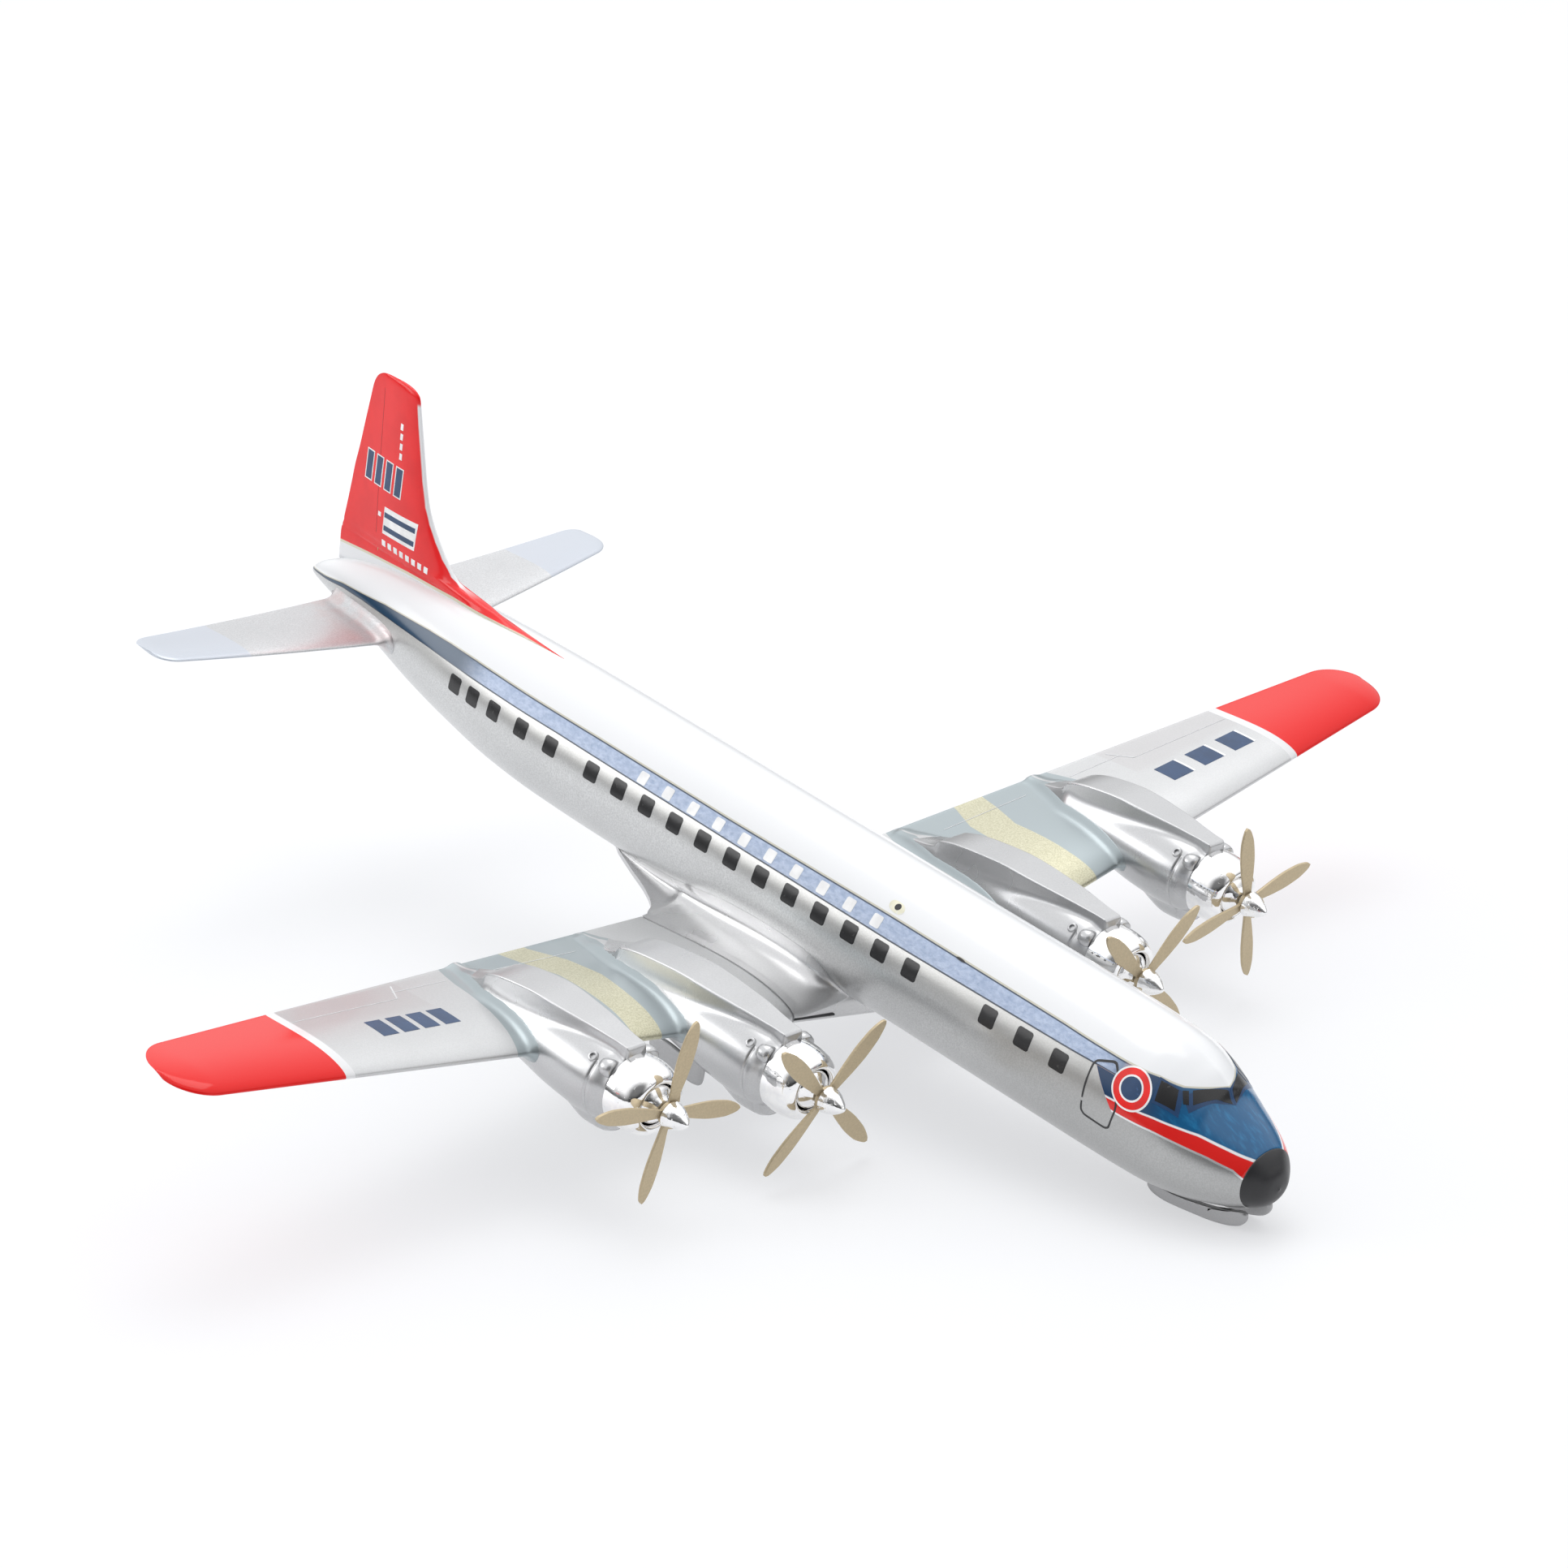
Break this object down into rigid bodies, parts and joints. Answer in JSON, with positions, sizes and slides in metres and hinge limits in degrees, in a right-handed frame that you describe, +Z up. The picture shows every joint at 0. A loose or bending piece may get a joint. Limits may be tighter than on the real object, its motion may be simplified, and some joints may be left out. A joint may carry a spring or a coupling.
{
  "type": "desktop airliner model",
  "caption": "Desktop model of a piston-engined airliner, standing nose-down on its main wheels and open nose-gear doors, with turning propellers and wheels.",
  "frame": {"origin": "middle of the bounding box, on the table that the wheels and nose-gear doors rest on", "axes": "+Z up, +X to the left wing tip, -Y forward; the fuselage is pitched nose-down 9.67 degrees about X"},
  "size_m": [0.1894, 0.168, 0.0664],
  "materials": {
    "fuselage_paint": "gloss white over silver lacquer, with blue and red bands",
    "silver_lacquer": "fine metallic silver lacquer, satin",
    "tail_red": "gloss red with a white leading edge",
    "radome_black": "satin black",
    "polished_cowling": "mirror plate",
    "etched_brass": "matt, as etched",
    "brass_pin": "drawn wire",
    "gear_metal": "satin grey",
    "steel_wire": "drawn wire",
    "tyre": "matt black"
  },
  "bodies": {
    "airframe": {"cowling_inner_left": "polished_cowling", "cowling_inner_right": "polished_cowling", "cowling_outer_left": "polished_cowling", "cowling_outer_right": "polished_cowling", "fin_locating_pin_front": "brass_pin", "fin_locating_pin_rear": "brass_pin", "fuselage_left_half": "fuselage_paint", "fuselage_register_pin_front": "brass_pin", "fuselage_register_pin_rear": "brass_pin", "fuselage_right_half": "fuselage_paint", "gear_housing_inner_left": "polished_cowling", "gear_housing_inner_right": "polished_cowling", "gear_housing_outer_left": "polished_cowling", "gear_housing_outer_right": "polished_cowling", "main_gear_brace_left": "gear_metal", "main_gear_brace_right": "gear_metal", "main_gear_door_left_inboard": "silver_lacquer", "main_gear_door_left_outboard": "silver_lacquer", "main_gear_door_right_inboard": "silver_lacquer", "main_gear_door_right_outboard": "silver_lacquer", "main_gear_leg_left": "gear_metal", "main_gear_leg_right": "gear_metal", "nacelle_inner_left": "silver_lacquer", "nacelle_inner_right": "silver_lacquer", "nacelle_outer_left": "silver_lacquer", "nacelle_outer_right": "silver_lacquer", "nose_gear_door_left": "silver_lacquer", "nose_gear_door_right": "silver_lacquer", "nose_radome": "radome_black", "tail_fin": "tail_red", "tailplane_joining_pin": "steel_wire", "tailplane_left": "silver_lacquer", "tailplane_right": "silver_lacquer", "wing_centre_section": "silver_lacquer", "wing_dowel_left_front": "steel_wire", "wing_dowel_left_rear": "steel_wire", "wing_dowel_right_front": "steel_wire", "wing_dowel_right_rear": "steel_wire", "wing_left": "silver_lacquer", "wing_right": "silver_lacquer"},
    "propeller_group_outer_left": {"propeller_outer_left": "etched_brass", "spinner_outer_left": "polished_cowling", "propeller_shaft_outer_left": "steel_wire"},
    "propeller_group_inner_left": {"propeller_inner_left": "etched_brass", "spinner_inner_left": "polished_cowling", "propeller_shaft_inner_left": "steel_wire"},
    "propeller_group_inner_right": {"propeller_inner_right": "etched_brass", "spinner_inner_right": "polished_cowling", "propeller_shaft_inner_right": "steel_wire"},
    "propeller_group_outer_right": {"propeller_outer_right": "etched_brass", "spinner_outer_right": "polished_cowling", "propeller_shaft_outer_right": "steel_wire"},
    "wheel_pair_left": {"main_axle_left": "steel_wire", "main_wheel_outer_left": "tyre", "main_wheel_inner_left": "tyre"},
    "wheel_pair_right": {"main_axle_right": "steel_wire", "main_wheel_outer_right": "tyre", "main_wheel_inner_right": "tyre"}
  },
  "joints": [
    {"name": "propeller_spin_outer_left", "type": "hinge", "parent": "airframe", "child": "propeller_group_outer_left", "pos_m": [0.04603, -0.0374, 0.01323], "axis": [0, 0.9858, 0.168], "continuous": true},
    {"name": "propeller_spin_inner_left", "type": "hinge", "parent": "airframe", "child": "propeller_group_inner_left", "pos_m": [0.02546, -0.03995, 0.00975], "axis": [0, 0.9858, 0.168], "continuous": true},
    {"name": "propeller_spin_inner_right", "type": "hinge", "parent": "airframe", "child": "propeller_group_inner_right", "pos_m": [-0.02546, -0.03995, 0.00975], "axis": [0, 0.9858, 0.168], "continuous": true},
    {"name": "propeller_spin_outer_right", "type": "hinge", "parent": "airframe", "child": "propeller_group_outer_right", "pos_m": [-0.04603, -0.0374, 0.01323], "axis": [0, 0.9858, 0.168], "continuous": true},
    {"name": "wheel_roll_left", "type": "hinge", "parent": "airframe", "child": "wheel_pair_left", "pos_m": [0.02546, -0.00439, 0.0029], "axis": [1, 0, 0], "continuous": true},
    {"name": "wheel_roll_right", "type": "hinge", "parent": "airframe", "child": "wheel_pair_right", "pos_m": [-0.02546, -0.00439, 0.0029], "axis": [1, 0, 0], "continuous": true}
  ]
}
